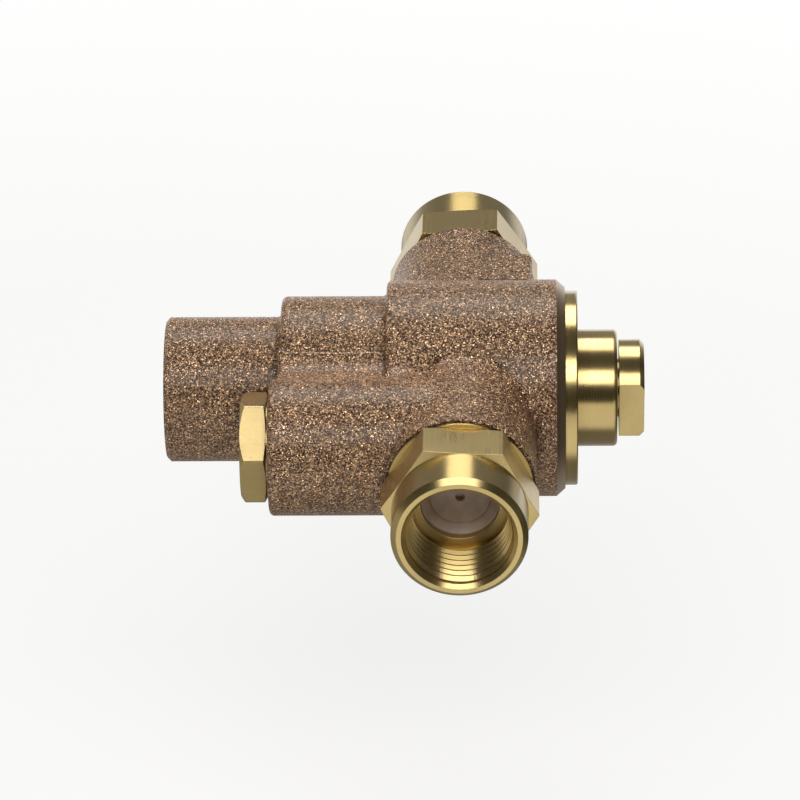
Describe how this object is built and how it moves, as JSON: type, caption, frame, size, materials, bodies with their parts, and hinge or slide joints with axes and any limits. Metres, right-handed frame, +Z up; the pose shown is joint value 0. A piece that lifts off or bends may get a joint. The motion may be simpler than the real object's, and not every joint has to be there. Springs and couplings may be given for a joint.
{
  "type": "thermostatic mixing valve",
  "caption": "Cast bronze thermostatic mixing valve with opposed threaded inlets, a threaded outlet, a bypass chamber with a hex plug and an adjusting stem on a brass bonnet.",
  "frame": {"origin": "centre of the outlet mouth, on the main axis", "axes": "+X along the main axis from the outlet to the adjusting stem, -Y out of the cold inlet, +Y out of the hot inlet, +Z up"},
  "size_m": [0.0976, 0.1224, 0.0444],
  "materials": {
    "cast_bronze": "rough sand-cast bronze",
    "machined_brass": "satin, with turning marks",
    "white_plastic": "matt moulded plastic",
    "black_plastic": "matt moulded plastic",
    "black_rubber": "smooth rubber",
    "spring_steel": "drawn wire",
    "stainless_steel": "fine turned",
    "capsule_copper": "drawn copper"
  },
  "bodies": {
    "valve_body": {"body_casting": "cast_bronze", "bonnet": "machined_brass", "bonnet_seal": "black_rubber", "bypass_plug": "machined_brass", "bypass_plug_seal": "black_rubber", "bypass_spring": "spring_steel", "hot_seat": "stainless_steel", "cold_seat": "stainless_steel", "return_spring": "spring_steel", "cold_inlet_fitting": "machined_brass", "cold_inlet_seal": "black_rubber", "cold_check_cage": "white_plastic", "cold_check_seal": "black_rubber", "cold_check_spring": "spring_steel", "hot_inlet_fitting": "machined_brass", "hot_inlet_seal": "black_rubber", "hot_check_cage": "white_plastic", "hot_check_seal": "black_rubber", "hot_check_spring": "spring_steel"},
    "stem": {"adjusting_stem": "machined_brass", "stem_seal": "black_rubber", "stem_clip": "spring_steel"},
    "carrier": {"spring_carrier": "black_plastic", "plunger_clip": "spring_steel", "overload_spring": "spring_steel"},
    "plunger": {"plunger": "stainless_steel", "element_piston": "stainless_steel"},
    "shuttle": {"shuttle": "black_plastic", "shuttle_seal": "black_rubber", "wax_capsule": "capsule_copper", "capsule_clip": "spring_steel"},
    "bypass_poppet": {"bypass_poppet": "white_plastic"},
    "cold_poppet": {"cold_check_poppet": "white_plastic"},
    "hot_poppet": {"hot_check_poppet": "white_plastic"}
  },
  "joints": [
    {"name": "stem_turn", "type": "hinge", "parent": "valve_body", "child": "stem", "pos_m": [0.0925, 0, 0], "axis": [1, 0, 0], "range_deg": [-270, 270]},
    {"name": "carrier_slide", "type": "slide", "parent": "valve_body", "child": "carrier", "axis": [1, 0, 0], "range_m": [-0.0015, 0.0015]},
    {"name": "plunger_slide", "type": "slide", "parent": "carrier", "child": "plunger", "axis": [1, 0, 0], "range_m": [0, 0.0014], "stiffness_N_per_m": 15000, "deforming": ["overload_spring"]},
    {"name": "shuttle_slide", "type": "slide", "parent": "valve_body", "child": "shuttle", "axis": [1, 0, 0], "range_m": [-0.0014, 0.0014], "stiffness_N_per_m": 2500, "deforming": ["return_spring"]},
    {"name": "bypass_slide", "type": "slide", "parent": "valve_body", "child": "bypass_poppet", "axis": [-1, 0, 0], "range_m": [0, 0.003], "stiffness_N_per_m": 400, "deforming": ["bypass_spring"]},
    {"name": "cold_check_slide", "type": "slide", "parent": "valve_body", "child": "cold_poppet", "axis": [0, 1, 0], "range_m": [0, 0.003], "stiffness_N_per_m": 150, "deforming": ["cold_check_spring"]},
    {"name": "hot_check_slide", "type": "slide", "parent": "valve_body", "child": "hot_poppet", "axis": [0, -1, 0], "range_m": [0, 0.003], "stiffness_N_per_m": 150, "deforming": ["hot_check_spring"]}
  ],
  "couplings": [
    {"joint": "carrier_slide", "follows": "stem_turn", "m_per_rad": -0.0003183}
  ]
}
